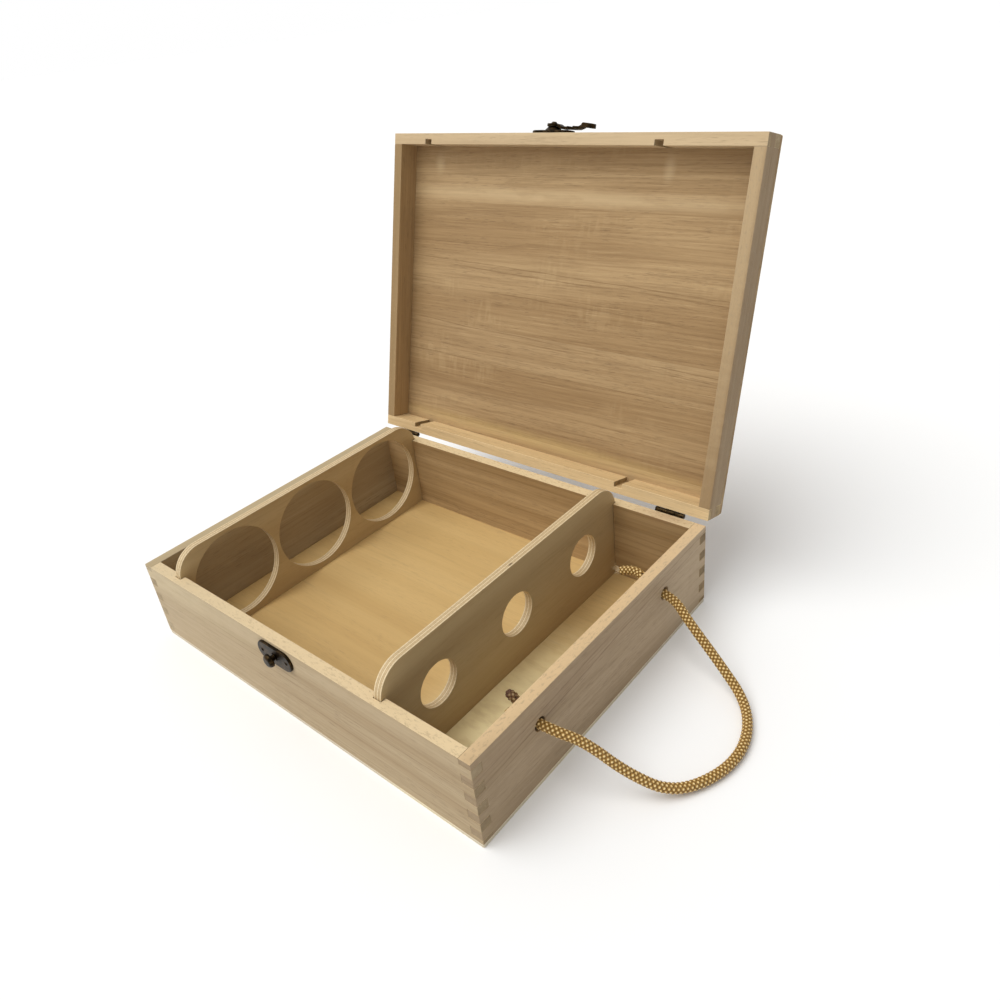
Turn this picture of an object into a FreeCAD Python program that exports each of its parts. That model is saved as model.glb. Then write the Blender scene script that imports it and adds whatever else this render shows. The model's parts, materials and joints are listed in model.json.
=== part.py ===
import FreeCAD, Part
import math
import os

# A hinged wooden box for three bottles, standing open. Millimetres.
# +X runs along the front to the right, +Y to the back, +Z up.
# The origin is the middle of the base's underside.

V = FreeCAD.Vector

# Box
box_length = 350.0
wall = 9.0
panel = 3.1                   # plywood of the bottom and of the lid's top
panel_corner = 1.2
lid_wall = 19.8               # height of the lid's rails
lid_gap = 0.3                 # between the two rims when the box is shut
open_angle = 105.4            # where the lid rests, open

# Finger joints at the corners
finger = 7.5
base_first_finger = 5.0       # from the base's rim down
lid_first_finger = 4.6        # from the lid's rim up
shortest_finger = 2.5

# Dividers, standing in grooves of the long walls
bottle_count = 3
body_hole_radius = 39.5
hole_web = 4.0                # wood between two holes and at a row's ends
hole_foot_web = 5.4           # from the bottom panel up to the body holes
hole_top_web = 3.2            # from the body holes up to the divider's top
neck_hole_radius = 17.2
neck_hole_drop = 0.5          # below the middle of the body holes
divider_thickness = 6.6
divider_side_clearance = 0.35
divider_end_clearance = 0.3
divider_top_clearance = 0.8   # under the shut lid
divider_corner = 22.0
groove_depth = 4.2
body_divider_inset = 33.3     # from the left end wall
neck_divider_inset = 70.8     # from the right end wall

# Butt hinges on the back
hinge_inset = 31.4            # from the box's end to the hinge's middle
hinge_width = 24.2
hinge_leaf = 12.0
leaf_thickness = 1.0
knuckle_radius = 2.0
knuckle_clearance = 0.25
pin_radius = 0.9
pin_clearance = 0.05
pin_end = 0.4
hinge_axis_rise = 0.45        # above the base's rim
hinge_nail_spread = 7.0
hinge_nail_drop = 7.5
hinge_nail_margin = 0.6       # wood between a nail's tip and a groove's depth

# Latch on the lid and keeper on the base
latch_x = -4.0
plate_length = 37.5
plate_width = 16.0
plate_thickness = 2.0
plate_bevel = 0.5
plate_nail_inset = 5.55       # from the plate's end
latch_plate_margin = 0.6      # from the lid's rim
keeper_plate_margin = 2.5     # from the base's rim
knob_drop = 0.4               # below the middle of the keeper's plate
dome_margin = 0.3             # from the bevel to the dome's foot
dome_top_radius = 4.4
dome_height = 2.8
rivet_radius = 1.6
rivet_clearance = 0.05
rivet_head_radius = 2.5
rivet_top_radius = 1.55
rivet_head_height = 1.2
stem_radius = 2.2
collar_radius = 3.4
collar_height = 0.5
knob_radius = 5.2
knob_thickness = 3.2
knob_round = 2.5

# Hook: a bent strip on the rivet
hook_thickness = 2.0
hook_lift = 0.3               # over the dome and under the rivet's head
hook_collar_gap = 0.4         # over the keeper's collar
hook_eye_radius = 5.4
hook_arm_width = 5.8
hook_hold_web = 3.6           # round the slot
hook_tab_width = 6.6
hook_eye_flat = 1.0           # level past the dome's top
hook_slope = 3.4
hook_knob_gap = 0.6           # level past the knob
hook_rise_run = 3.8
hook_rise = 2.0               # how far the finger lift stands up
hook_lug_radius = 1.7         # half the thickness of the lug at the tip
hook_lug_length = 9.2
hook_lug_fall = 0.8           # from the lug's start to its tip
hook_bend = 0.4
slot_clearance = 0.4
slot_sweep = 40.0

# Nails and brads
nail_radius = 0.7
nail_head_radius = 1.7
nail_head_height = 0.6
nail_clearance = 0.05
plate_nail_margin = 2.9       # wood left behind a plate's nail
brad_radius = 0.6
brad_length = 14.0
brad_clearance = 0.05
long_side_brads = (-0.78, -0.28, 0.28, 0.78)     # shares of the half length
short_side_brads = (-0.5, 0.5)                   # shares of the half depth

# Rope handle through the right end wall
rope_diameter = 7.0
rope_hole_clearance = 1.5
rope_hole_y = 74.3
rope_hole_z = 49.0
knot_clearance = 0.3
knot_seat_web = 1.4           # flat of the knot round the hole
knot_shoulder = 3.0
knot_shoulder_run = 3.5
knot_length = 15.0
back_tail_length = 16.0
back_tail_offset = (5.0, 4.5)     # y and z, from the knot's middle
back_tail_way = (-1.0, 0.0, -0.13)
front_tail_length = 8.5
front_tail_offset = (4.8, 2.6)
front_tail_way = (-1.0, 0.17, 0.0)
rope_bend = 0.45

# Worked out from the sizes above
bottle_pitch = 2 * body_hole_radius + hole_web
inside_depth = bottle_count * bottle_pitch + hole_web
half_length = box_length / 2
inside_x = half_length - wall
inside_y = inside_depth / 2
half_depth = inside_y + wall
front = -half_depth
body_hole_z = panel + hole_foot_web + body_hole_radius
neck_hole_z = body_hole_z - neck_hole_drop
divider_top = body_hole_z + body_hole_radius + hole_top_web
lid_inside = divider_top + divider_top_clearance
lid_top = lid_inside + panel
lid_rim = lid_inside - lid_wall
base_height = lid_rim - lid_gap
body_divider_x = -inside_x + body_divider_inset
neck_divider_x = inside_x - neck_divider_inset
hinge_x = half_length - hinge_inset
hinge_y = half_depth + knuckle_radius + knuckle_clearance
hinge_z = base_height + hinge_axis_rise
hinge_nail_length = leaf_thickness + wall - groove_depth - hinge_nail_margin
plate_nail_length = plate_thickness + wall - plate_nail_margin
pivot_z = lid_rim + latch_plate_margin + plate_width / 2
keeper_z = base_height - keeper_plate_margin - plate_width / 2
knob_z = keeper_z - knob_drop
knob_spacing = pivot_z - knob_z
dome_foot_radius = plate_width / 2 - plate_bevel - dome_margin
hook_back = plate_thickness + dome_height + hook_lift
rivet_seat = hook_back + hook_thickness + hook_lift
hook_low = plate_thickness + collar_height + hook_collar_gap
hook_hold_radius = stem_radius + slot_clearance + hook_hold_web
rope_hole_radius = rope_diameter / 2 + rope_hole_clearance
knot_seat_radius = rope_hole_radius + knot_seat_web
knot_radius = knot_seat_radius + knot_shoulder
past = 1.0                    # how far a cut runs past the face it opens

# The rope's route: distance beyond the right end wall's outer face, y and z.
# It comes out of the wall, drops to the ground and goes back in.
rope_route = [
    (-wall - knot_clearance, rope_hole_y, rope_hole_z),
    (6.5, rope_hole_y, rope_hole_z),
    (24.0, 65.0, 40.5),
    (49.0, 60.0, 20.5),
    (76.0, 49.5, 4.0),
    (90.5, 19.0, 4.0),
    (88.5, -12.0, 4.0),
    (72.0, -42.0, 5.5),
    (49.0, -55.5, 20.0),
    (25.0, -65.0, 41.5),
    (9.0, -rope_hole_y, rope_hole_z),
    (-wall - knot_clearance, -rope_hole_y, rope_hole_z),
]


def box(low, high):
    """A block between two opposite corners."""
    size = [b - a for a, b in zip(low, high)]
    return Part.makeBox(*size, V(*low))


def rod(start, direction, radius, length):
    return Part.makeCylinder(radius, length, V(*start), V(*direction))


def fuse(shapes):
    whole = shapes[0]
    for shape in shapes[1:]:
        whole = whole.fuse(shape)
    return whole.removeSplitter()


def cut(shape, tools):
    for tool in tools:
        shape = shape.cut(tool)
    return shape


def swing_open(shape):
    """Turns a piece of the shut lid about the hinge to where the lid rests."""
    opened = shape.copy()
    opened.rotate(V(0, hinge_y, hinge_z), V(1, 0, 0), -open_angle)
    return opened


# Boards and their corner joints

def finger_bands(start, stop, first):
    """Heights of the joint's fingers from start to stop, in order.
    The first band is shorter, and a last scrap joins the band before it."""
    way = 1 if stop > start else -1
    edges = [start, start + way * first]
    while abs(stop - edges[-1]) > finger + shortest_finger:
        edges.append(edges[-1] + way * finger)
    edges.append(stop)
    return [sorted(pair) for pair in zip(edges, edges[1:])]


def corner_blocks(bands):
    """The corner's blocks at these heights, at all four corners."""
    blocks = []
    for low, high in bands:
        for x in (-half_length, inside_x):
            for y in (-half_depth, inside_y):
                blocks.append(box((x, y, low), (x + wall, y + wall, high)))
    return blocks


def frame_boards(low, high, end_bands, side_bands):
    """Front, back, left and right boards of a frame, joined by fingers."""
    for_ends = corner_blocks(end_bands)
    for_sides = corner_blocks(side_bands)
    front_board = box((-half_length, -half_depth, low), (half_length, -inside_y, high))
    back_board = box((-half_length, inside_y, low), (half_length, half_depth, high))
    left_board = box((-half_length, -half_depth, low), (-inside_x, half_depth, high))
    right_board = box((inside_x, -half_depth, low), (half_length, half_depth, high))
    return [
        cut(front_board, for_ends),
        cut(back_board, for_ends),
        cut(left_board, for_sides),
        cut(right_board, for_sides),
    ]


def divider_grooves(low, high):
    """Upright grooves in the front and back boards for both dividers."""
    half = divider_thickness / 2 + divider_side_clearance
    reach = inside_y + groove_depth
    grooves = []
    for x in (body_divider_x, neck_divider_x):
        grooves.append(box((x - half, -reach, low), (x + half, reach, high)))
    return grooves


# Nails and brads

def crown(at, outward, radius, rise):
    """A low dome standing on a round face."""
    point, way = V(*at), V(*outward)
    ball_radius = (radius ** 2 + rise ** 2) / (2 * rise)
    ball = Part.makeSphere(ball_radius, point + way * (rise - ball_radius))
    return ball.common(Part.makeCylinder(radius + past, rise + past, point, way))


def nail(at, into, length):
    """A round-headed nail whose head sits on the plate at this point."""
    outward = tuple(-c for c in into)
    return fuse([
        rod(at, into, nail_radius, length),
        crown(at, outward, nail_head_radius, nail_head_height),
    ])


def nail_hole(at, into, length):
    return rod(at, into, nail_radius + nail_clearance, length + nail_clearance)


def nails(spots, into, length):
    return Part.makeCompound([nail(spot, into, length) for spot in spots])


def brad(at, into):
    return rod(at, into, brad_radius, brad_length)


def brad_hole(at, into):
    return rod(at, into, brad_radius + brad_clearance, brad_length + brad_clearance)


def brad_spots(z):
    """Where the brads enter, round the edge of a panel."""
    x_edge = half_length - wall / 2
    y_edge = half_depth - wall / 2
    spots = []
    for share in long_side_brads:
        for side in (-1, 1):
            spots.append((share * x_edge, side * y_edge, z))
    for share in short_side_brads:
        for side in (-1, 1):
            spots.append((side * x_edge, share * y_edge, z))
    return spots


# Plywood panels and dividers

def edge_panel(low, high):
    """A panel flush with the boards, its upright corners eased."""
    plate = box((-half_length, -half_depth, low), (half_length, half_depth, high))
    upright = [e for e in plate.Edges if abs(e.BoundBox.ZLength - (high - low)) < 0.01]
    return plate.makeFillet(panel_corner, upright)


def divider(x, hole_radius, hole_z):
    """An upright plate with rounded top corners and a row of round holes."""
    reach = inside_y + groove_depth - divider_end_clearance
    low_x = x - divider_thickness / 2
    plate = box((low_x, -reach, panel), (low_x + divider_thickness, reach, divider_top))
    corners = [
        e for e in plate.Edges
        if abs(e.BoundBox.XLength - divider_thickness) < 0.01 and e.BoundBox.ZMin > body_hole_z
    ]
    plate = plate.makeFillet(divider_corner, corners)
    first_y = -inside_y + hole_web + body_hole_radius
    holes = [
        rod((low_x - past, first_y + n * bottle_pitch, hole_z), (1, 0, 0), hole_radius,
            divider_thickness + 2 * past)
        for n in range(bottle_count)
    ]
    return cut(plate, holes)


# Hinges

def hinge_nail_spots(x, side):
    """Where one leaf's two nails enter: side is -1 for the base, 1 for the lid."""
    y = half_depth + leaf_thickness
    z = hinge_z + side * hinge_nail_drop
    return [(x - hinge_nail_spread, y, z), (x + hinge_nail_spread, y, z)]


def hinge_leaf_plate(x, side):
    """One leaf with its knuckles. The base's leaf has the two outer
    knuckles, and the lid's leaf has the one between them."""
    third = hinge_width / 3
    start = x - hinge_width / 2
    near = hinge_z + side * pin_clearance
    far = hinge_z + side * hinge_leaf
    leaf = box(
        (start, half_depth, min(near, far)),
        (start + hinge_width, half_depth + leaf_thickness, max(near, far)),
    )
    own = (0, 2) if side < 0 else (1,)
    others = (1,) if side < 0 else (0, 2)
    room = knuckle_radius + 2 * knuckle_clearance
    notches = [
        box(
            (start + n * third - knuckle_clearance, half_depth - past, hinge_z - room),
            (start + (n + 1) * third + knuckle_clearance, hinge_y + room, hinge_z + room),
        )
        for n in others
    ]
    knuckles = []
    for n in own:
        low = start + n * third + (knuckle_clearance / 2 if n else 0)
        high = start + (n + 1) * third - (knuckle_clearance / 2 if n < 2 else 0)
        knuckles.append(rod((low, hinge_y, hinge_z), (1, 0, 0), knuckle_radius, high - low))
    shape = fuse([cut(leaf, notches)] + knuckles)
    bore = rod(
        (start - past, hinge_y, hinge_z), (1, 0, 0), pin_radius + pin_clearance,
        hinge_width + 2 * past,
    )
    holes = [nail_hole(spot, (0, -1, 0), hinge_nail_length) for spot in hinge_nail_spots(x, side)]
    return cut(shape, [bore] + holes)


def hinge_pin(x):
    length = hinge_width + 2 * pin_end
    return rod((x - length / 2, hinge_y, hinge_z), (1, 0, 0), pin_radius, length)


# Latch, keeper and hook

def oval_plate(z):
    """A long plate with round ends, flat on the front, its rim bevelled."""
    radius = plate_width / 2
    reach = plate_length / 2 - radius
    flat = box((latch_x - reach, front - plate_thickness, z - radius), (latch_x + reach, front, z + radius))
    ends = [
        rod((latch_x + side * reach, front, z), (0, -1, 0), radius, plate_thickness)
        for side in (-1, 1)
    ]
    plate = fuse([flat] + ends)
    face_y = front - plate_thickness
    rim = [e for e in plate.Edges if abs(e.BoundBox.YMin - face_y) < 0.01 and e.BoundBox.YLength < 0.01]
    return plate.makeChamfer(plate_bevel, rim)


def plate_nail_spots(z):
    y = front - plate_thickness
    spread = plate_length / 2 - plate_nail_inset
    return [(latch_x - spread, y, z), (latch_x + spread, y, z)]


def latch_plate():
    plate = oval_plate(pivot_z)
    dome = Part.makeCone(
        dome_foot_radius, dome_top_radius, dome_height,
        V(latch_x, front - plate_thickness, pivot_z), V(0, -1, 0),
    )
    bore = rod(
        (latch_x, front + past, pivot_z), (0, -1, 0), rivet_radius + rivet_clearance,
        rivet_seat + 2 * past,
    )
    holes = [nail_hole(spot, (0, 1, 0), plate_nail_length) for spot in plate_nail_spots(pivot_z)]
    return cut(fuse([plate, dome]), [bore] + holes)


def latch_rivet():
    shank = rod((latch_x, front, pivot_z), (0, -1, 0), rivet_radius, rivet_seat)
    head = Part.makeCone(
        rivet_head_radius, rivet_top_radius, rivet_head_height,
        V(latch_x, front - rivet_seat, pivot_z), V(0, -1, 0),
    )
    return fuse([shank, head])


def keeper_plate():
    holes = [nail_hole(spot, (0, 1, 0), plate_nail_length) for spot in plate_nail_spots(keeper_z)]
    seat = rod(
        (latch_x, front + past, knob_z), (0, -1, 0), stem_radius + rivet_clearance,
        plate_thickness + 2 * past,
    )
    return cut(oval_plate(keeper_z), [seat] + holes)


def keeper_knob():
    """A stud: collar on the plate, stem for the hook and a domed head."""
    neck = hook_low + hook_thickness + slot_clearance
    outward = (0, -1, 0)
    head = rod((latch_x, front - neck, knob_z), outward, knob_radius, knob_thickness)
    face_y = front - neck - knob_thickness
    rim = [e for e in head.Edges if abs(e.BoundBox.YMax - face_y) < 0.01]
    return fuse([
        rod((latch_x, front, knob_z), outward, stem_radius, neck),
        rod((latch_x, front - plate_thickness, knob_z), outward, collar_radius, collar_height),
        head.makeFillet(knob_round, rim),
    ])


def rounded_path(points, share):
    """Straight runs joined by tangent arcs, each as large as a share of the
    shorter run beside it allows. Gives the wire and the arcs' radii."""
    edges, radii = [], []
    at = points[0]
    for before, corner, after in zip(points, points[1:], points[2:]):
        into, out = corner - before, after - corner
        setback = share * min(into.Length, out.Length)
        half_turn = into.getAngle(out) / 2
        into.normalize()
        out.normalize()
        start = corner - into * setback
        end = corner + out * setback
        radius = setback / math.tan(half_turn)
        inward = (out - into).normalize()
        middle = corner + inward * (radius / math.cos(half_turn) - radius)
        edges.append(Part.LineSegment(at, start).toShape())
        edges.append(Part.Arc(start, middle, end).toShape())
        radii.append(radius)
        at = end
    edges.append(Part.LineSegment(at, points[-1]).toShape())
    return Part.Wire(edges), radii


def hook_stations():
    """Bends of the hook's strip: distance from the rivet, and the height of
    the strip's back off the front wall."""
    eye_end = dome_top_radius + hook_eye_flat
    foot = eye_end + hook_slope
    rise = knob_spacing + knob_radius + hook_knob_gap
    crest = rise + hook_rise_run
    high = hook_low + hook_rise
    return [
        (-hook_eye_radius - past, hook_back), (eye_end, hook_back), (foot, hook_low),
        (rise, hook_low), (crest, high), (crest + hook_lug_length / 2, high - hook_lug_fall / 2),
    ]


def hook_length():
    return hook_stations()[-2][0] + hook_lug_length


def upright_from(u, back):
    """A point of the hook's edge view, below the strip's lower side."""
    return V(latch_x + u, front - back, pivot_z - hook_hold_radius - past)


def hook_strip():
    """The hook's bent strip seen from its edge, wider than any part of it."""
    middle = hook_thickness / 2
    points = [V(latch_x + u, front - back - middle, pivot_z) for u, back in hook_stations()]
    path, _ = rounded_path(points, hook_bend)
    half = hook_hold_radius + past
    start = points[0]
    corners = [(middle, -half), (middle, half), (-middle, half), (-middle, -half)]
    section = Part.makePolygon([start + V(0, y, z) for y, z in corners + corners[:1]])
    sweep = Part.BRepOffsetAPI.MakePipeShell(path)
    sweep.add(section)
    sweep.setTransitionMode(1)
    sweep.build()
    sweep.makeSolid()
    return sweep.shape()


def hook_lug():
    """The thick, rounded finger lug at the hook's tip, as wide as the strip."""
    crest, high = hook_stations()[-2]
    middle = high + hook_thickness / 2
    first = upright_from(crest, middle)
    last = upright_from(crest + hook_lug_length - hook_lug_radius, middle - hook_lug_fall)
    height = V(0, 0, 2 * (hook_hold_radius + past))
    along = last - first
    side = V(-along.y, along.x, 0).normalize() * hook_lug_radius
    corners = [first + side, last + side, last - side, first - side]
    slab = Part.Face(Part.makePolygon(corners + corners[:1])).extrude(height)
    ends = [Part.makeCylinder(hook_lug_radius, height.z, end, V(0, 0, 1)) for end in (first, last)]
    return fuse([slab] + ends)


def hook_outline():
    """The hook's outline seen from the front, with the slot for the stem."""
    depth = 2 * rivet_seat
    far = front - depth

    def bar(x_low, x_high, width):
        return box(
            (latch_x + x_low, far, pivot_z - width / 2),
            (latch_x + x_high, far + depth, pivot_z + width / 2),
        )

    def disc(u, radius):
        return rod((latch_x + u, far, pivot_z), (0, 1, 0), radius, depth)

    tab_end = hook_length() - hook_tab_width / 2
    body = fuse([
        disc(0, hook_eye_radius),
        bar(0, knob_spacing, hook_arm_width),
        disc(knob_spacing, hook_hold_radius),
        bar(knob_spacing, tab_end, hook_tab_width),
        disc(tab_end, hook_tab_width / 2),
    ])
    slot_half = stem_radius + slot_clearance
    ring = disc(0, knob_spacing + slot_half).cut(disc(0, knob_spacing - slot_half))
    reach = 2 * knob_spacing
    turn = math.radians(slot_sweep)
    corners = [
        V(latch_x, far, pivot_z),
        V(latch_x + reach, far, pivot_z),
        V(latch_x + reach * math.cos(turn), far, pivot_z - reach * math.sin(turn)),
    ]
    wedge = Part.Face(Part.makePolygon(corners + corners[:1])).extrude(V(0, depth, 0))
    slot = fuse([ring.common(wedge), disc(knob_spacing, slot_half)])
    return cut(body, [slot, disc(0, rivet_radius + rivet_clearance)])


def latch_hook():
    return fuse([hook_strip(), hook_lug()]).common(hook_outline())


# Rope handle

def rope():
    points = [V(half_length + x, y, z) for x, y, z in rope_route]
    path, radii = rounded_path(points, rope_bend)
    print("rope radii:", ", ".join("%.1f" % r for r in radii))
    start = points[0]
    section = Part.Wire(Part.Circle(start, points[1] - start, rope_diameter / 2).toShape())
    sweep = Part.BRepOffsetAPI.MakePipeShell(path)
    sweep.add(section)
    sweep.build()
    sweep.makeSolid()
    tube = sweep.shape()
    expected = math.pi * rope_diameter ** 2 / 4 * path.Length
    print("rope length %.1f, volume %.0f, expected %.0f" % (path.Length, tube.Volume, expected))
    return tube


def rope_knot(end, tail_offset, tail_way, tail_length):
    """The knot behind the wall and the rope's short tail beyond it."""
    face_x = inside_x - knot_clearance
    y = end * rope_hole_y
    waist = rope_diameter / 2
    profile = [
        V(face_x, 0, 0), V(face_x, knot_seat_radius, 0), V(face_x - knot_shoulder_run, knot_radius, 0),
        V(face_x - knot_length + knot_shoulder_run, knot_radius, 0), V(face_x - knot_length, waist, 0),
        V(face_x - knot_length, 0, 0),
    ]
    outline = Part.makePolygon(profile + profile[:1])
    knot = Part.Face(outline).revolve(V(0, 0, 0), V(1, 0, 0), 360)
    knot.translate(V(0, y, rope_hole_z))
    way = V(*tail_way).normalize()
    aside, above = tail_offset
    middle = V(face_x - knot_length / 2, y + aside, rope_hole_z + above)
    tail = Part.makeCylinder(waist, knot_length / 2 + tail_length, middle, way)
    return fuse([knot, tail])


def build():
    parts = {}

    base_bands = finger_bands(base_height, panel, base_first_finger)
    lid_bands = finger_bands(lid_rim, lid_inside, lid_first_finger)
    base_boards = frame_boards(panel, base_height, base_bands[0::2], base_bands[1::2])
    lid_boards = frame_boards(lid_rim, lid_inside, lid_bands[1::2], lid_bands[0::2])

    keeper_spots = plate_nail_spots(keeper_z)
    latch_spots = plate_nail_spots(pivot_z)
    base_hinge_spots = hinge_nail_spots(-hinge_x, -1) + hinge_nail_spots(hinge_x, -1)
    lid_hinge_spots = hinge_nail_spots(-hinge_x, 1) + hinge_nail_spots(hinge_x, 1)
    bottom_spots = brad_spots(0.0)
    top_spots = brad_spots(lid_top)
    forward, backward, up, down = (0, 1, 0), (0, -1, 0), (0, 0, 1), (0, 0, -1)

    bottom_holes = [brad_hole(spot, up) for spot in bottom_spots]
    top_holes = [brad_hole(spot, down) for spot in top_spots]
    base_grooves = divider_grooves(panel, base_height)
    lid_grooves = divider_grooves(lid_rim, lid_inside)
    rope_holes = [
        rod((inside_x - past, end * rope_hole_y, rope_hole_z), (1, 0, 0), rope_hole_radius, wall + 2 * past)
        for end in (-1, 1)
    ]

    front_wall, back_wall, left_wall, right_wall = base_boards
    keeper_holes = [nail_hole(spot, forward, plate_nail_length) for spot in keeper_spots]
    hinge_holes = [nail_hole(spot, backward, hinge_nail_length) for spot in base_hinge_spots]
    parts["front_wall"] = cut(front_wall, base_grooves + keeper_holes + bottom_holes)
    parts["back_wall"] = cut(back_wall, base_grooves + hinge_holes + bottom_holes)
    parts["left_end_wall"] = cut(left_wall, bottom_holes)
    parts["right_end_wall"] = cut(right_wall, rope_holes + bottom_holes)
    parts["bottom_panel"] = cut(edge_panel(0, panel), bottom_holes)
    parts["bottom_brads"] = Part.makeCompound([brad(spot, up) for spot in bottom_spots])
    parts["body_divider"] = divider(body_divider_x, body_hole_radius, body_hole_z)
    parts["neck_divider"] = divider(neck_divider_x, neck_hole_radius, neck_hole_z)
    parts["keeper_plate"] = keeper_plate()
    parts["keeper_knob"] = keeper_knob()
    parts["keeper_nails"] = nails(keeper_spots, forward, plate_nail_length)
    for side, x in (("left", -hinge_x), ("right", hinge_x)):
        parts["hinge_base_leaf_" + side] = hinge_leaf_plate(x, -1)
        parts["hinge_pin_" + side] = hinge_pin(x)
    parts["hinge_base_nails"] = nails(base_hinge_spots, backward, hinge_nail_length)
    parts["rope_handle"] = rope()
    parts["rope_knot_back"] = rope_knot(1, back_tail_offset, back_tail_way, back_tail_length)
    parts["rope_knot_front"] = rope_knot(-1, front_tail_offset, front_tail_way, front_tail_length)

    lid = {}
    lid_front, lid_back, lid_left, lid_right = lid_boards
    latch_holes = [nail_hole(spot, forward, plate_nail_length) for spot in latch_spots]
    lid_hinge_holes = [nail_hole(spot, backward, hinge_nail_length) for spot in lid_hinge_spots]
    lid["lid_front_rail"] = cut(lid_front, lid_grooves + latch_holes + top_holes)
    lid["lid_back_rail"] = cut(lid_back, lid_grooves + lid_hinge_holes + top_holes)
    lid["lid_left_rail"] = cut(lid_left, top_holes)
    lid["lid_right_rail"] = cut(lid_right, top_holes)
    lid["lid_panel"] = cut(edge_panel(lid_inside, lid_top), top_holes)
    lid["lid_brads"] = Part.makeCompound([brad(spot, down) for spot in top_spots])
    lid["latch_plate"] = latch_plate()
    lid["latch_nails"] = nails(latch_spots, forward, plate_nail_length)
    lid["latch_rivet"] = latch_rivet()
    lid["latch_hook"] = latch_hook()
    for side, x in (("left", -hinge_x), ("right", hinge_x)):
        lid["hinge_lid_leaf_" + side] = hinge_leaf_plate(x, 1)
    lid["hinge_lid_nails"] = nails(lid_hinge_spots, backward, hinge_nail_length)
    for name, shape in lid.items():
        parts[name] = swing_open(shape)
    return parts


os.makedirs("parts", exist_ok=True)
for name, shape in build().items():
    shape.exportStep("parts/" + name + ".step")
    print("%-22s solids %2d  valid %s  volume %10.1f" % (
        name, len(shape.Solids), shape.isValid(), shape.Volume))
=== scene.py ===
import json
import math
import random
import bpy
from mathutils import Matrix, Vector


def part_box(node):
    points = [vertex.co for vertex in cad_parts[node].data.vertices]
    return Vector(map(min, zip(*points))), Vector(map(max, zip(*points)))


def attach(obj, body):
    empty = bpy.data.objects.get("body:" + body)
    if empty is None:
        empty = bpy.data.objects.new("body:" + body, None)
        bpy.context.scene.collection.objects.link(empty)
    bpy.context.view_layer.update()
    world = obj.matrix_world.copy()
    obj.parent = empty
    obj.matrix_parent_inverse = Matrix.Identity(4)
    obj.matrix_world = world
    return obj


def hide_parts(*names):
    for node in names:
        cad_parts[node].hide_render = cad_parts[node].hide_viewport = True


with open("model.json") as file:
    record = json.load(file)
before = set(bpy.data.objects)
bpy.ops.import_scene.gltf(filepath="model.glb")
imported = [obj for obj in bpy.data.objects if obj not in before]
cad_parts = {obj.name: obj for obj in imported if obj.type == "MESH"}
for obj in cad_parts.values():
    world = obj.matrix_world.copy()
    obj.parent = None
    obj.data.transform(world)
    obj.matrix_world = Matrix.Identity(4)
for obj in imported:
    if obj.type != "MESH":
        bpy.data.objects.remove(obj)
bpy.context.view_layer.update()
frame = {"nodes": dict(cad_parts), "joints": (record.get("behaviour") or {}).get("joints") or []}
nodes = frame["nodes"]
mm = 0.001
print("frame loaded,", len(nodes), "nodes")


def addObject(name, data):
    piece = bpy.data.objects.new(name, data)
    bpy.context.collection.objects.link(piece)
    return piece


# Camera, fitted to the box's corners in the photo, whose frame is 1000 by 1000

camera = {
    "place": (0.41172, -0.33882, 0.42937),
    "turn": (1.04516, 0.11595, 0.70823),
    "focalPixels": 821.0,
    "centrePixels": (480.26, 477.09),
    "framePixels": 1000.0,
    "sensor": 36.0,
}


def addCamera(c):
    data = bpy.data.cameras.new("photoCamera")
    data.sensor_width = c["sensor"]
    data.lens = c["focalPixels"] / c["framePixels"] * c["sensor"]
    data.shift_x = 0.5 - c["centrePixels"][0] / c["framePixels"]
    data.shift_y = c["centrePixels"][1] / c["framePixels"] - 0.5
    data.clip_start = 0.01
    seen = addObject("photoCamera", data)
    seen.location = c["place"]
    seen.rotation_euler = c["turn"]
    bpy.context.scene.camera = seen


addCamera(camera)
print("camera placed")


# Shader helpers

def srgb(colour):      # a 0 to 255 screen colour as the shader's own values
    parts = [c / 255 for c in colour]
    return tuple(p / 12.92 if p <= 0.04045 else ((p + 0.055) / 1.055) ** 2.4 for p in parts) + (1.0,)


def put(tree, socket, value):
    if isinstance(value, bpy.types.NodeSocket):
        tree.links.new(value, socket)
    elif value is not None:
        socket.default_value = value


def maths(tree, operation, *values, clamp=False):
    node = tree.nodes.new("ShaderNodeMath")
    node.operation = operation
    node.use_clamp = clamp
    for socket, value in zip(node.inputs, values):
        put(tree, socket, value)
    return node.outputs[0]


def vectorMaths(tree, operation, *values):
    node = tree.nodes.new("ShaderNodeVectorMath")
    node.operation = operation
    for socket, value in zip(node.inputs, values):
        put(tree, socket, value)
    return node.outputs["Value" if operation in ("LENGTH", "DOT_PRODUCT") else "Vector"]


def stretched(tree, place, scale):
    return vectorMaths(tree, "MULTIPLY", place, scale)


def noise(tree, place, detail=2.0, roughness=0.5, scale=1.0):
    node = tree.nodes.new("ShaderNodeTexNoise")
    put(tree, node.inputs["Vector"], place)
    node.inputs["Scale"].default_value = scale
    node.inputs["Detail"].default_value = detail
    node.inputs["Roughness"].default_value = roughness
    return node.outputs["Fac"]


def spread(tree, value, low, high, outLow=0.0, outHigh=1.0, smooth=True):
    node = tree.nodes.new("ShaderNodeMapRange")
    node.interpolation_type = "SMOOTHSTEP" if smooth else "LINEAR"
    put(tree, node.inputs["Value"], value)
    for name, limit in (("From Min", low), ("From Max", high), ("To Min", outLow), ("To Max", outHigh)):
        node.inputs[name].default_value = limit
    return node.outputs["Result"]


def blend(tree, share, first, second, mode="MIX"):
    node = tree.nodes.new("ShaderNodeMix")
    node.data_type = "RGBA"
    node.blend_type = mode
    put(tree, node.inputs[0], share)
    put(tree, node.inputs[6], first)
    put(tree, node.inputs[7], second)
    return node.outputs[2]


def tinted(tree, colour, mask, share, tint):      # the colour, turned to the tint where the mask is
    return blend(tree, maths(tree, "MULTIPLY", mask, share), colour, srgb(tint))


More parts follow.
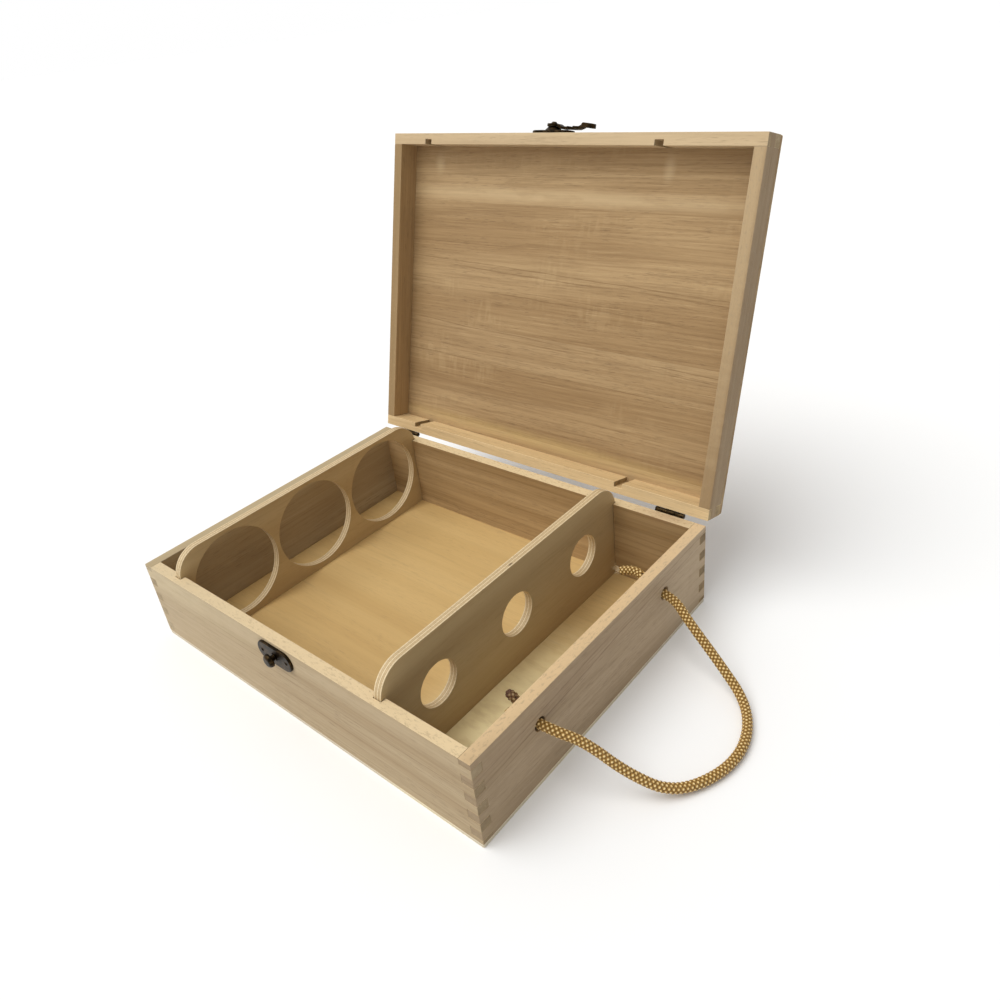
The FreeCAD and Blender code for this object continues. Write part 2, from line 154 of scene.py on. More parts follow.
def split(tree, vector):
    node = tree.nodes.new("ShaderNodeSeparateXYZ")
    put(tree, node.inputs[0], vector)
    return node.outputs


def join(tree, x, y, z):
    node = tree.nodes.new("ShaderNodeCombineXYZ")
    for socket, value in zip(node.inputs, (x, y, z)):
        put(tree, socket, value)
    return node.outputs[0]


def coordinates(tree, kind):
    return tree.nodes.new("ShaderNodeTexCoord").outputs[kind]


def attribute(tree, name):
    node = tree.nodes.new("ShaderNodeAttribute")
    node.attribute_name = name
    return node.outputs["Fac"]


def newGroup(name, inputs, outputs):
    group = bpy.data.node_groups.new(name, "ShaderNodeTree")
    for label, kind, value in inputs:
        socket = group.interface.new_socket(name=label, in_out="INPUT", socket_type=kind)
        if value is not None:
            socket.default_value = value
    for label, kind in outputs:
        group.interface.new_socket(name=label, in_out="OUTPUT", socket_type=kind)
    return group, group.nodes.new("NodeGroupInput").outputs, group.nodes.new("NodeGroupOutput").inputs


def useGroup(tree, group, **values):
    node = tree.nodes.new("ShaderNodeGroup")
    node.node_tree = group
    for label, value in values.items():
        put(tree, node.inputs[label], value)
    return node.outputs


def bump(tree, height, strength, distance):
    node = tree.nodes.new("ShaderNodeBump")
    node.inputs["Strength"].default_value = strength
    node.inputs["Distance"].default_value = distance
    put(tree, node.inputs["Height"], height)
    return node.outputs["Normal"]


def newMaterial(name):
    material = bpy.data.materials.new(name)
    material.use_nodes = True
    return material, material.node_tree, material.node_tree.nodes["Principled BSDF"]


# Effects that several finishes share

def makeGrainGroup():
    # open grain along X: broad bands, fine streaks, growth lines, flecks and curl, each 0 to 1
    group, given, out = newGroup(
        "openGrain",
        [
            ("Place", "NodeSocketVector", None), ("Seed", "NodeSocketFloat", 0.0),
            ("Ring Gap", "NodeSocketFloat", 0.007), ("Wander", "NodeSocketFloat", 0.006),
            ("Slope", "NodeSocketFloat", 0.0),
        ],
        [(label, "NodeSocketFloat") for label in ("Tone", "Streak", "Line", "Fleck", "Curl", "Height")],
    )
    seed = given["Seed"]
    shift = join(group, maths(group, "MULTIPLY", seed, 0.731), maths(group, "MULTIPLY", seed, 0.413),
                 maths(group, "MULTIPLY", seed, 0.297))
    parts = split(group, vectorMaths(group, "ADD", given["Place"], shift))
    lean = maths(group, "MULTIPLY", parts["X"], given["Slope"])
    drift = noise(group, stretched(group, given["Place"], (5.0, 14.0, 14.0)), detail=2.0)
    ripple = maths(group, "MULTIPLY", maths(group, "SUBTRACT", drift, 0.5), given["Wander"])
    sideways = maths(group, "ADD", lean, ripple)
    place = join(group, parts["X"], maths(group, "ADD", parts["Y"], sideways),
                 maths(group, "ADD", parts["Z"], sideways))
    tone = noise(group, stretched(group, place, (1.7, 36.0, 36.0)), detail=2.0, roughness=0.5)
    streak = noise(group, stretched(group, place, (7.0, 480.0, 480.0)), detail=4.0, roughness=0.7)
    across = split(group, place)
    depth = maths(group, "ADD", across["Y"], maths(group, "MULTIPLY", across["Z"], 0.8))
    turns = maths(group, "DIVIDE", depth, given["Ring Gap"])
    uneven = noise(group, stretched(group, place, (1.3, 62.0, 62.0)), detail=1.0)
    turns = maths(group, "ADD", turns, maths(group, "MULTIPLY", uneven, 3.4))
    line = maths(group, "POWER", maths(group, "FRACT", turns), 7.0)
    strength = spread(group, noise(group, stretched(group, place, (7.0, 70.0, 70.0))), 0.36, 0.66)
    breaks = spread(group, noise(group, stretched(group, place, (60.0, 900.0, 900.0))), 0.3, 0.6)
    line = maths(group, "MULTIPLY", line, maths(group, "MULTIPLY", strength, breaks))
    specks = noise(group, stretched(group, place, (95.0, 1750.0, 1750.0)), detail=1.0)
    crowd = noise(group, stretched(group, place, (10.0, 90.0, 90.0)), detail=1.0)
    fleck = maths(group, "MULTIPLY", spread(group, specks, 0.58, 0.70), spread(group, crowd, 0.3, 0.6))
    flame = noise(group, stretched(group, place, (230.0, 60.0, 60.0)), detail=1.0)
    where = noise(group, stretched(group, place, (11.0, 30.0, 30.0)), detail=2.0)
    curl = maths(group, "MULTIPLY", spread(group, flame, 0.42, 0.62), spread(group, where, 0.5, 0.72))
    put(group, out["Tone"], tone)
    put(group, out["Streak"], streak)
    put(group, out["Line"], line)
    put(group, out["Fleck"], fleck)
    put(group, out["Curl"], curl)
    put(group, out["Height"], maths(group, "SUBTRACT", maths(group, "MULTIPLY", streak, 0.6), fleck))
    return group


def makePlyGroup():
    # bands of a plywood's plies from its depth, 0 at one face and 1 at the other
    group, given, out = newGroup(
        "plyBands",
        [("Depth", "NodeSocketFloat", 0.0), ("Plies", "NodeSocketFloat", 5.0)],
        [("Band", "NodeSocketFloat"), ("Glue", "NodeSocketFloat")],
    )
    step = maths(group, "MULTIPLY", given["Depth"], given["Plies"])
    odd = maths(group, "FLOORED_MODULO", maths(group, "FLOOR", step), 2.0)
    inPly = maths(group, "FRACT", step)
    fromLine = maths(group, "MINIMUM", inPly, maths(group, "SUBTRACT", 1.0, inPly))
    put(group, out["Band"], odd)
    put(group, out["Glue"], spread(group, fromLine, 0.05, 0.16, 1.0, 0.0))
    return group


def makeSpotGroup():
    # a soft-edged, uneven patch round a centre
    group, given, out = newGroup(
        "softPatch",
        [
            ("Place", "NodeSocketVector", None), ("Centre", "NodeSocketVector", None),
            ("Size", "NodeSocketVector", (0.01, 0.01, 0.01)),
        ],
        [("Patch", "NodeSocketFloat")],
    )
    offset = vectorMaths(group, "SUBTRACT", given["Place"], given["Centre"])
    away = vectorMaths(group, "LENGTH", vectorMaths(group, "DIVIDE", offset, given["Size"]))
    worn = noise(group, stretched(group, given["Place"], (60.0, 160.0, 160.0)), detail=3.0)
    put(group, out["Patch"], maths(group, "MULTIPLY", spread(group, away, 0.0, 1.0, 1.0, 0.0),
                                   spread(group, worn, 0.3, 0.6, 0.7, 1.0)))
    return group


def makeThreadGroup():
    # one dark grain line that runs along the board and wanders a little
    group, given, out = newGroup(
        "grainThread",
        [
            ("Along", "NodeSocketFloat", 0.0), ("Across", "NodeSocketFloat", 0.0),
            ("Offset", "NodeSocketFloat", 0.0), ("Slope", "NodeSocketFloat", 0.0),
            ("Width", "NodeSocketFloat", 0.001),
        ],
        [("Thread", "NodeSocketFloat")],
    )
    own = maths(group, "MULTIPLY", given["Offset"], 900.0)
    swing = noise(group, join(group, maths(group, "MULTIPLY", given["Along"], 9.0), own, 0.0), detail=2.0)
    line = maths(group, "MULTIPLY_ADD", given["Along"], given["Slope"], given["Across"])
    line = maths(group, "MULTIPLY_ADD", maths(group, "SUBTRACT", swing, 0.5), 0.005, line)
    away = maths(group, "ABSOLUTE", maths(group, "SUBTRACT", line, given["Offset"]))
    fuzz = noise(group, join(group, maths(group, "MULTIPLY", given["Along"], 110.0), own,
                             maths(group, "MULTIPLY", given["Across"], 900.0)), detail=2.0)
    reach = maths(group, "MULTIPLY", given["Width"], spread(group, fuzz, 0.3, 0.7, 0.5, 1.5))
    core = maths(group, "SUBTRACT", 1.0, maths(group, "DIVIDE", away, reach), clamp=True)
    fade = noise(group, join(group, maths(group, "MULTIPLY", given["Along"], 14.0), 3.7, own), detail=1.0)
    put(group, out["Thread"], maths(group, "MULTIPLY", core, spread(group, fade, 0.32, 0.6, 0.15, 1.0)))
    return group


def makeEdgeGroup():
    # Edge is 1 on a board's eased edges, End on its end grain, Rim on its faces that look up or down
    group, given, out = newGroup(
        "easedEdge",
        [("Place", "NodeSocketVector", None), ("Normal", "NodeSocketVector", None)],
        [("Edge", "NodeSocketFloat"), ("End", "NodeSocketFloat"), ("Rim", "NodeSocketFloat")],
    )
    sides = split(group, vectorMaths(group, "ABSOLUTE", given["Normal"]))
    flat = maths(group, "MAXIMUM", sides["X"], maths(group, "MAXIMUM", sides["Y"], sides["Z"]))
    patchy = noise(group, stretched(group, given["Place"], (90.0, 90.0, 90.0)), detail=3.0)
    edge = spread(group, flat, 0.86, 0.985, 1.0, 0.0)
    put(group, out["Edge"], maths(group, "MULTIPLY", edge, spread(group, patchy, 0.3, 0.6, 0.35, 1.0)))
    put(group, out["End"], maths(group, "MULTIPLY", spread(group, sides["X"], 0.6, 0.95),
                                 spread(group, patchy, 0.3, 0.65, 1.0, 0.6)))
    stipple = noise(group, stretched(group, given["Place"], (260.0, 640.0, 640.0)), detail=3.0,
                    roughness=0.75)
    put(group, out["Rim"], maths(group, "MULTIPLY", spread(group, sides["Z"], 0.6, 0.95),
                                 spread(group, stipple, 0.30, 0.50, 0.42, 1.0)))
    return group


grainGroup = makeGrainGroup()
plyGroup = makePlyGroup()
spotGroup = makeSpotGroup()
threadGroup = makeThreadGroup()
edgeGroup = makeEdgeGroup()
print("shared effects built")


# Wood finishes. Each board has its own seed; a lid board is read as it lies on the shut box.

lidHinge = next(j for j in frame["joints"] if j["name"] == "lid_hinge")
hingeCentre = tuple(lidHinge["pos_m"])
openAngle = math.radians(lidHinge["range_deg"][1])
quarter = math.pi / 2


def turned(tree, vector, kind, angle, centre=(0.0, 0.0, 0.0)):
    node = tree.nodes.new("ShaderNodeVectorRotate")
    node.rotation_type = kind
    put(tree, node.inputs["Vector"], vector)
    node.inputs["Center"].default_value = centre
    node.inputs["Angle"].default_value = angle
    return node.outputs[0]


def boardPlace(tree, s):
    # place and normal in the board's own frame, grain along X, and the place before that turn
    place = coordinates(tree, "Object")
    normal = coordinates(tree, "Normal")
    if s.get("lid"):
        place = turned(tree, place, "X_AXIS", openAngle, hingeCentre)
        normal = turned(tree, normal, "X_AXIS", openAngle)
    boxPlace = place
    if s["grain"] == "y":
        place = turned(tree, place, "Z_AXIS", quarter)
        normal = turned(tree, normal, "Z_AXIS", quarter)
    return place, normal, boxPlace


def patched(tree, colour, boxPlace, s):      # the places that the photo shows paler, darker or rubbed; some of them are painted light, painted shade or painted shadow
    for centre, size, tint, share in s.get("patches", []):
        patch = useGroup(tree, spotGroup, Place=boxPlace, Centre=centre, Size=size)["Patch"]
        colour = tinted(tree, colour, patch, share, tint)
    return colour


def lathTones(tree, boxPlace, s):      # one tone for each of the boards that are glued edge to edge
    across = tree.nodes.new("ShaderNodeValToRGB")
    across.color_ramp.interpolation = "CONSTANT"
    low, high = s["lathSpan"]
    put(tree, across.inputs[0], spread(tree, split(tree, boxPlace)["Y"], low, high, smooth=False))
    ramp = across.color_ramp.elements
    for i, (start, tone) in enumerate(s["laths"]):
        lath = ramp[i] if i < len(ramp) else ramp.new(start)
        lath.position = start
        lath.color = (tone, tone, tone, 1.0)
    return across.outputs["Color"]


def woodMaterial(name, s):
    material, tree, shader = newMaterial(name)
    place, normal, boxPlace = boardPlace(tree, s)
    seed = s["seed"]
    laths = "laths" in s
    if laths:      # each of them has its own grain too
        lathTone = lathTones(tree, boxPlace, s)
        seed = maths(tree, "MULTIPLY_ADD", lathTone, s["lathSeeds"], seed)
    grain = useGroup(tree, grainGroup, **{
        "Place": place, "Seed": seed, "Ring Gap": s["gap"], "Wander": s["wander"],
        "Slope": s["slope"],
    })
    worn = useGroup(tree, edgeGroup, Place=place, Normal=normal)
    colour = blend(tree, spread(tree, grain["Tone"], 0.36, 0.64), srgb(s["pale"]), srgb(s["deep"]))
    if laths:
        colour = blend(tree, lathTone, blend(tree, 1.0, colour, srgb(s["lathTint"]), "MULTIPLY"), colour)
    streak = spread(tree, grain["Streak"], 0.40, 0.66)
    gleam = spread(tree, grain["Streak"], 0.26, 0.42, 1.0, 0.0)
    colour = tinted(tree, colour, streak, s["streakShare"], s["line"])
    colour = tinted(tree, colour, gleam, s["gleamShare"], s["glow"])
    colour = tinted(tree, colour, grain["Curl"], s["curlShare"], s["glow"])
    colour = tinted(tree, colour, grain["Line"], s["lineShare"], s["line"])
    colour = tinted(tree, colour, grain["Fleck"], s["fleckShare"], s["fleckColour"])
    for offset, slope, width, share in s.get("threads", []):
        thread = useGroup(tree, threadGroup, Along=split(tree, place)["X"],
                          Across=split(tree, boxPlace)[s["threadAxis"]],
                          Offset=offset, Slope=slope, Width=width)["Thread"]
        colour = tinted(tree, colour, thread, share, s["threadColour"])
    colour = tinted(tree, colour, worn["Rim"], s["rimShare"], s["rimColour"])
    colour = tinted(tree, colour, worn["End"], s["endShare"], s["endColour"])
    colour = tinted(tree, colour, worn["Edge"], s["edgeShare"], s["glow"])
    put(tree, shader.inputs["Base Color"], patched(tree, colour, boxPlace, s))
    put(tree, shader.inputs["Roughness"], spread(tree, grain["Streak"], 0.3, 0.7, *s["rough"]))
    shader.inputs["Specular IOR Level"].default_value = s["gloss"]
    put(tree, shader.inputs["Normal"], bump(tree, grain["Height"], s["bump"], s["grainDepth"]))
    return material


wood = {      # what the boards share; each finish below changes what differs
    "pale": (203, 187, 161), "deep": (184, 165, 137), "line": (128, 106, 80), "glow": (219, 204, 178),
    "endColour": (116, 98, 68), "fleckColour": (96, 74, 52), "rimColour": (206, 180, 142),
    "threadColour": (124, 98, 68), "threadAxis": "Z", "grain": "x", "gap": 0.0085, "wander": 0.004,
    "slope": 0.0, "streakShare": 0.18, "gleamShare": 0.2, "curlShare": 0.0, "lineShare": 0.42,
    "fleckShare": 0.35, "endShare": 0.5, "rimShare": 0.6, "edgeShare": 0.4, "rough": (0.56, 0.72),
    "gloss": 0.25, "bump": 0.3, "grainDepth": 0.25 * mm, "bevel": 0.35 * mm,
}
boardFinishes = {
    "front_wall": {
        "seed": 1.3, "slope": 0.012, "pale": (179, 158, 125), "deep": (168, 145, 111), "gleamShare": 0.1,
        "glow": (196, 176, 142), "rimColour": (228, 203, 159), "rimShare": 1.0, "endShare": 0.7,
        "lineShare": 0.34, "edgeShare": 0.25,
        # height of each line at the middle, its slope, its half width and its strength
        "threads": [
            (0.052, -0.014, 0.0006, 0.75), (0.041, -0.018, 0.0004, 0.65), (0.026, -0.012, 0.0005, 0.6),
            (0.017, -0.020, 0.0004, 0.5), (0.060, -0.016, 0.0003, 0.5), (0.0465, -0.016, 0.0004, 0.6),
            (0.0345, -0.014, 0.0003, 0.5), (0.0555, -0.015, 0.0003, 0.5), (0.0090, -0.012, 0.0004, 0.4),
        ],
        # each patch's centre and reach on the shut box, its colour and its strength
        "patches": [
            ((-0.180, -0.136, 0.020), (0.26, 0.03, 0.16), (194, 174, 142), 0.55),
            ((-0.200, -0.136, 0.062), (0.28, 0.03, 0.022), (208, 191, 156), 0.7),
            ((0.060, -0.136, 0.064), (0.28, 0.03, 0.014), (192, 172, 140), 0.6),
        ],
    },
    "back_wall": {
        "seed": 4.1, "pale": (190, 161, 118), "deep": (164, 134, 91), "line": (112, 84, 54),
        "glow": (206, 178, 134), "streakShare": 0.25, "rimColour": (230, 208, 166), "rimShare": 0.85,
        "endShare": 0.9,
        "patches": [((0.143, 0.131, 0.0715), (0.040, 0.012, 0.006), (150, 112, 84), 0.5)],
    },
    "left_end_wall": {"seed": 7.7, "grain": "y", "pale": (184, 166, 134), "deep": (168, 148, 116),
                      "endShare": 0.06, "rimColour": (180, 160, 122)},
    "right_end_wall": {
        "seed": 9.2, "grain": "y", "slope": -0.05, "gap": 0.012, "pale": (178, 156, 127),
        "deep": (168, 146, 116), "line": (108, 88, 64), "glow": (192, 172, 142), "lineShare": 0.26,
        "streakShare": 0.16, "gleamShare": 0.1, "rimColour": (220, 190, 146), "rimShare": 1.0,
        "endShare": 0.3, "threadColour": (112, 88, 62),
        "threads": [
            (0.0540, 0.052, 0.0011, 0.65), (0.0575, 0.050, 0.0007, 0.5), (0.0610, 0.046, 0.0010, 0.55),
            (0.0500, 0.060, 0.0006, 0.45), (0.0655, 0.040, 0.0006, 0.4), (0.0420, 0.070, 0.0005, 0.3),
            (0.0270, 0.070, 0.0004, 0.25),
        ],
        "patches": [
            # painted shade on the outer face towards its front end
            ((0.176, -0.150, 0.040), (0.02, 0.09, 0.07), (148, 126, 96), 0.6),
            # painted shade inside the rope's holes
            ((0.1705, -0.0743, 0.049), (0.0052, 0.013, 0.013), (56, 34, 20), 1.0),
            ((0.1705, 0.0743, 0.049), (0.0052, 0.013, 0.013), (56, 34, 20), 1.0),
            ((0.176, -0.04, 0.060), (0.02, 0.24, 0.022), (140, 114, 84), 0.35),
            ((0.176, 0.125, 0.040), (0.02, 0.14, 0.070), (196, 174, 144), 0.5),
        ],
    },
    "lid_front_rail": {"seed": 12.4, "lid": True, "pale": (208, 184, 146), "deep": (190, 164, 126),
                       "rimShare": 0.3, "endShare": 0.75},
    "lid_back_rail": {"seed": 15.8, "lid": True, "pale": (236, 209, 160), "deep": (216, 186, 137),
                      "line": (138, 108, 72), "glow": (244, 220, 174), "rimShare": 0.2, "endShare": 0.85},
    "lid_left_rail": {"seed": 18.1, "lid": True, "grain": "y", "pale": (184, 154, 112),
                      "deep": (166, 137, 97), "line": (112, 86, 56), "glow": (196, 168, 126),
                      "rimColour": (150, 123, 84), "rimShare": 0.75},
    "lid_right_rail": {
        "seed": 21.6, "lid": True, "grain": "y", "pale": (172, 152, 122), "deep": (150, 130, 102),
        "line": (104, 86, 64), "glow": (190, 172, 144), "rimColour": (188, 161, 122), "rimShare": 0.8,
        # the first patch is painted shade on the outer face, which looks away from the light
        "patches": [((0.1755, 0.0, 0.08), (0.004, 0.6, 0.3), (143, 115, 81), 0.5),
                    ((0.17, 0.150, 0.0735), (0.016, 0.26, 0.006), (136, 108, 72), 0.8)],
    },
}
easing = {
    "weldGap": 1e-6,
    "flatAngle": 0.5,        # faces that turn by less, in degrees, become one
    "sharpAngle": 35.0,      # edges that turn by more are rounded
    "segments": 2,
    "wideShare": 0.003,      # of a piece's area, from which faces that look one way count as wide
}


def easeEdges(piece, width, clamp):
    # welds and flattens a carried-over solid's faces, then rounds its sharp edges
    weld = piece.modifiers.new("weld", "WELD")
    weld.merge_threshold = easing["weldGap"]
    flat = piece.modifiers.new("flatFaces", "DECIMATE")
    flat.decimate_type = "DISSOLVE"
    flat.angle_limit = math.radians(easing["flatAngle"])
    ease = piece.modifiers.new("easedEdges", "BEVEL")
    ease.width = width
    ease.segments = easing["segments"]
    ease.limit_method = "ANGLE"
    ease.angle_limit = math.radians(easing["sharpAngle"])
    ease.use_clamp_overlap = clamp


def shadeFlats(mesh):
    # wide flat faces are shaded flat, so that no shade creeps over them from their edges
    keys = [tuple(round(c, 2) for c in face.normal) for face in mesh.polygons]
    areas = {}
    for face, key in zip(mesh.polygons, keys):
        areas[key] = areas.get(key, 0.0) + face.area
    wide = easing["wideShare"] * sum(areas.values())
    mesh.polygons.foreach_set("use_smooth", [areas[key] < wide for key in keys])


def dress(name, material, bevel, clamp=False):
    piece = nodes[name]
    piece.data.materials.clear()
    piece.data.materials.append(material)
    shadeFlats(piece.data)
    if bevel:
        easeEdges(piece, bevel, clamp)


for boardName, changes in boardFinishes.items():
    settings = {**wood, **changes}
    dress(boardName, woodMaterial(boardName + "Wood", settings), settings["bevel"])
print("boards finished")


# Lid's top: boards glued edge to edge, with the paler rubs where the dividers touch it and a painted
# shadow under the front rail

lidTop = {
    **wood, "lid": True, "seed": 30.5, "pale": (194, 165, 123), "deep": (176, 146, 105),
    "line": (116, 88, 56), "glow": (212, 184, 138), "gap": 0.013, "wander": 0.003, "curlShare": 0.16,
    "slope": 0.02, "streakShare": 0.30, "gleamShare": 0.30, "lineShare": 0.45, "rimShare": 0.0,
    # where each board starts, as a share of the span, and its tone
    "laths": [
        (0.0, 0.5), (0.035, 0.36), (0.095, 0.58), (0.202, 0.42), (0.60, 0.70), (0.712, 0.32), (0.93, 0.75),
    ],
    "lathSpan": (-0.1355, 0.1355), "lathTint": (226, 218, 206),
    "lathSeeds": 11.0,       # how far apart the grain of two boards is, for their tones' difference
    "bevel": 0.30 * mm, "threadAxis": "Y", "threadColour": (118, 90, 56),
    "threads": [
        (-0.0270, -0.021, 0.0007, 0.6), (-0.0230, -0.021, 0.0009, 0.55), (-0.0085, -0.021, 0.0006, 0.5),
        (-0.0040, -0.021, 0.0009, 0.5), (0.0300, -0.021, 0.0007, 0.55), (0.0340, -0.021, 0.0005, 0.4),
        (-0.0600, -0.021, 0.0005, 0.3), (0.0580, 0.0, 0.0006, 0.5), (-0.0807, 0.0, 0.0005, 0.45),
        (0.0900, -0.012, 0.0006, 0.35), (0.1020, -0.010, 0.0005, 0.35),
    ],
    "patches": [
        # on the inner face alone
        ((-0.1355, -0.1120, 0.0913), (0.0085, 0.013, 0.003), (222, 198, 158), 0.34),
        ((0.0955, -0.1125, 0.0913), (0.0070, 0.014, 0.003), (222, 198, 158), 0.38),
        ((0.0, -0.0885, 0.0913), (0.34, 0.0095, 0.003), (216, 190, 148), 0.55),
        ((0.0, 0.118, 0.0913), (0.30, 0.010, 0.003), (214, 186, 120), 0.35),
        # painted shadow of the front rail across the top of the inner face
        ((0.0, -0.1265, 0.0913), (0.60, 0.022, 0.003), (112, 82, 48), 0.4),
    ],
}
dress("lid_panel", woodMaterial("lidTopWood", lidTop), lidTop["bevel"])
print("lid's top finished")


# Plywood: veneered faces, plies at the edges

ply = {
    "pale": (195, 173, 131), "deep": (182, 157, 115), "line": (158, 132, 96), "lineShare": 0.3,
    "plyPale": (226, 206, 166), "plyDark": (204, 178, 136), "glue": (144, 114, 78), "gap": 0.016,
    "wander": 0.01, "streakShare": 0.08, "fleckShare": 0.2, "fleckColour": (132, 104, 72),
    "glueShare": 0.7, "fuzzShare": 0.3, "rough": (0.51, 0.63), "gloss": 0.3, "bump": 0.2,
    "grainDepth": 0.20 * mm, "bevel": 0.25 * mm, "axis": "X", "grain": "y", "plies": 5.0,
}
plywood = {
    "body_divider": {"seed": 41.0},
    "neck_divider": {
        "seed": 44.0,
        "patches": [((0.0966, 0.0009, 0.0907), (0.0012, 0.0035, 0.0016), (60, 44, 30), 0.9)],
    },
    "bottom_panel": {
        "axis": "Z", "seed": 47.0, "plies": 3.0, "grain": "x", "pale": (208, 176, 118),
        "deep": (196, 162, 104), "plyPale": (226, 216, 196), "plyDark": (208, 196, 172),
        "glue": (166, 152, 130),
        # painted light on the necks' bay floor, paler towards the front
        "patches": [((0.125, -0.050, 0.003), (0.075, 0.140, 0.01), (254, 238, 186), 1.0)],
    },
}


def plyMaterial(name, s, low, high):
    material, tree, shader = newMaterial(name)
    place, _, boxPlace = boardPlace(tree, s)
    facing = split(tree, vectorMaths(tree, "ABSOLUTE", coordinates(tree, "Normal")))[s["axis"]]
    depth = spread(tree, split(tree, boxPlace)[s["axis"]], low, high, smooth=False)
    bands = useGroup(tree, plyGroup, Depth=depth, Plies=s["plies"])
    grain = useGroup(tree, grainGroup, **{
        "Place": place, "Seed": s["seed"], "Ring Gap": s["gap"], "Wander": s["wander"],
    })
    face = blend(tree, spread(tree, grain["Tone"], 0.3, 0.7), srgb(s["pale"]), srgb(s["deep"]))
    face = tinted(tree, face, grain["Line"], s["lineShare"], s["line"])
    face = tinted(tree, face, grain["Fleck"], s["fleckShare"], s["fleckColour"])
    edge = blend(tree, bands["Band"], srgb(s["plyPale"]), srgb(s["plyDark"]))
    edge = tinted(tree, edge, bands["Glue"], s["glueShare"], s["glue"])
    fuzz = noise(tree, stretched(tree, boxPlace, (900.0, 900.0, 900.0)), detail=3.0)
    edge = tinted(tree, edge, spread(tree, fuzz, 0.4, 0.7), s["fuzzShare"], s["glue"])
    colour = blend(tree, spread(tree, facing, 0.75, 0.95), edge, face)
    colour = tinted(tree, colour, spread(tree, grain["Streak"], 0.40, 0.66), s["streakShare"], s["line"])
    put(tree, shader.inputs["Base Color"], patched(tree, colour, boxPlace, s))
    put(tree, shader.inputs["Roughness"], spread(tree, grain["Streak"], 0.3, 0.7, *s["rough"]))
    shader.inputs["Specular IOR Level"].default_value = s["gloss"]
    put(tree, shader.inputs["Normal"], bump(tree, grain["Height"], s["bump"], s["grainDepth"]))
    return material


for plyName, changes in plywood.items():
    settings = {**ply, **changes}
    axis = "XYZ".index(settings["axis"])
    low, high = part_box(plyName)
    material = plyMaterial(plyName + "Plywood", settings, low[axis], high[axis])
    dress(plyName, material, settings["bevel"])
print("plywood finished")


# Fittings: dark antique bronze, rubbed to brass on the high spots

bronze = {
    "dark": (30, 24, 15), "brown": (58, 45, 27), "rubbed": (168, 134, 92), "rubShare": 0.40,
    "metallic": 1.0, "roughDark": 0.40, "roughRubbed": 0.22, "patina": 260.0, "pits": 1560.0,
    "bump": 0.22, "pitDepth": 0.2 * mm, "bevel": 0.18 * mm,
}
steel = {
    "dark": (96, 90, 82), "brown": (120, 112, 100), "rubbed": (170, 164, 156), "rubShare": 0.55,
    "metallic": 0.85, "roughDark": 0.5, "roughRubbed": 0.35, "patina": 600.0, "pits": 3600.0,
    "bump": 0.1, "pitDepth": 0.2 * mm, "bevel": None,
}


def metalMaterial(name, s):
    material, tree, shader = newMaterial(name)
    place = coordinates(tree, "Object")
    coarse = noise(tree, place, detail=4.0, roughness=0.6, scale=s["patina"])
    fine = noise(tree, place, detail=3.0, roughness=0.7, scale=s["pits"])
    colour = blend(tree, spread(tree, coarse, 0.4, 0.62), srgb(s["dark"]), srgb(s["brown"]))
    rubbed = maths(tree, "MULTIPLY", spread(tree, fine, 0.5, 0.72), spread(tree, coarse, 0.35, 0.7))
    colour = tinted(tree, colour, rubbed, s["rubShare"], s["rubbed"])
    put(tree, shader.inputs["Base Color"], colour)
    shader.inputs["Metallic"].default_value = s["metallic"]
    put(tree, shader.inputs["Roughness"], spread(tree, rubbed, 0.0, 1.0, s["roughDark"], s["roughRubbed"]))
    put(tree, shader.inputs["Normal"], bump(tree, fine, s["bump"], s["pitDepth"]))
    return material


bronzeMaterial = metalMaterial("antiqueBronze", bronze)
steelMaterial = metalMaterial("plainSteel", steel)
for name in nodes:
    if name.startswith(("keeper", "latch", "hinge")):
        dress(name, bronzeMaterial, bronze["bevel"], clamp=True)
    elif name.endswith("brads"):
        dress(name, steelMaterial, steel["bevel"])
print("fittings finished")


# Rope handle: two sets of pale strands plaited round a dark core, along one smooth route, with a painted
# highlight on their crowns and painted shade, with some darker dye, where they dive under each other

rope = {
    "wallFace": 0.175,           # the right end wall's outer face
    "route": [                   # beyond that face, y and z
        (-0.0093, 0.0743, 0.049), (0.0065, 0.0743, 0.049), (0.024, 0.065, 0.0405),
        (0.049, 0.060, 0.0205), (0.076, 0.0495, 0.004), (0.0905, 0.019, 0.004),
        (0.0885, -0.012, 0.004), (0.072, -0.042, 0.0055), (0.049, -0.0555, 0.020),
        (0.025, -0.065, 0.0415), (0.009, -0.0743, 0.049), (-0.0093, -0.0743, 0.049),
    ],
    "diameter": 0.007,
    "length": 0.299,
}
plait = {
    "strands": 5,                # in each direction
    "pitch": 0.015,              # one strand's whole turn
    "ringsPerCrossing": 4,
    "strandRadius": 2.50 * mm,   # where the strands' middles run
    "weave": 0.42 * mm,
    "halfWidth": 1.06 * mm,
    "halfThickness": 0.62 * mm,
    "coreRadius": 2.15 * mm,
    "sides": 8,
    "coreSides": 12,
    "shadedHollow": 2.55 * mm,         # the strands are in shade up to here, from the rope's middle
    "crown": 3.48 * mm,          # and carry the painted highlight from here
}


def smoothRoute(name, points, spacing):
    # points at an even spacing along the NURBS spline that the route controls
    data = bpy.data.curves.new(name, "CURVE")
    data.dimensions = "3D"
    data.resolution_u = 32
    spline = data.splines.new("NURBS")
    spline.points.add(len(points) - 1)
    for control, point in zip(spline.points, points):
        control.co = (*point, 1.0)
    spline.order_u = 3
    spline.use_endpoint_u = True
    curve = bpy.data.objects.new(name, data)
    line = bpy.data.meshes.new_from_object(curve)
    found = [Vector(v.co) for v in line.vertices]
    bpy.data.objects.remove(curve)
    lengths = [0.0]
    for a, b in zip(found, found[1:]):
        lengths.append(lengths[-1] + (b - a).length)
    count = max(2, round(lengths[-1] / spacing))
    even, at = [], 0
    for i in range(count + 1):
        want = lengths[-1] * i / count
        while at < len(found) - 2 and lengths[at + 1] < want:
            at += 1
        share = (want - lengths[at]) / max(lengths[at + 1] - lengths[at], 1e-12)
        even.append(found[at].lerp(found[at + 1], min(share, 1.0)))
    return even


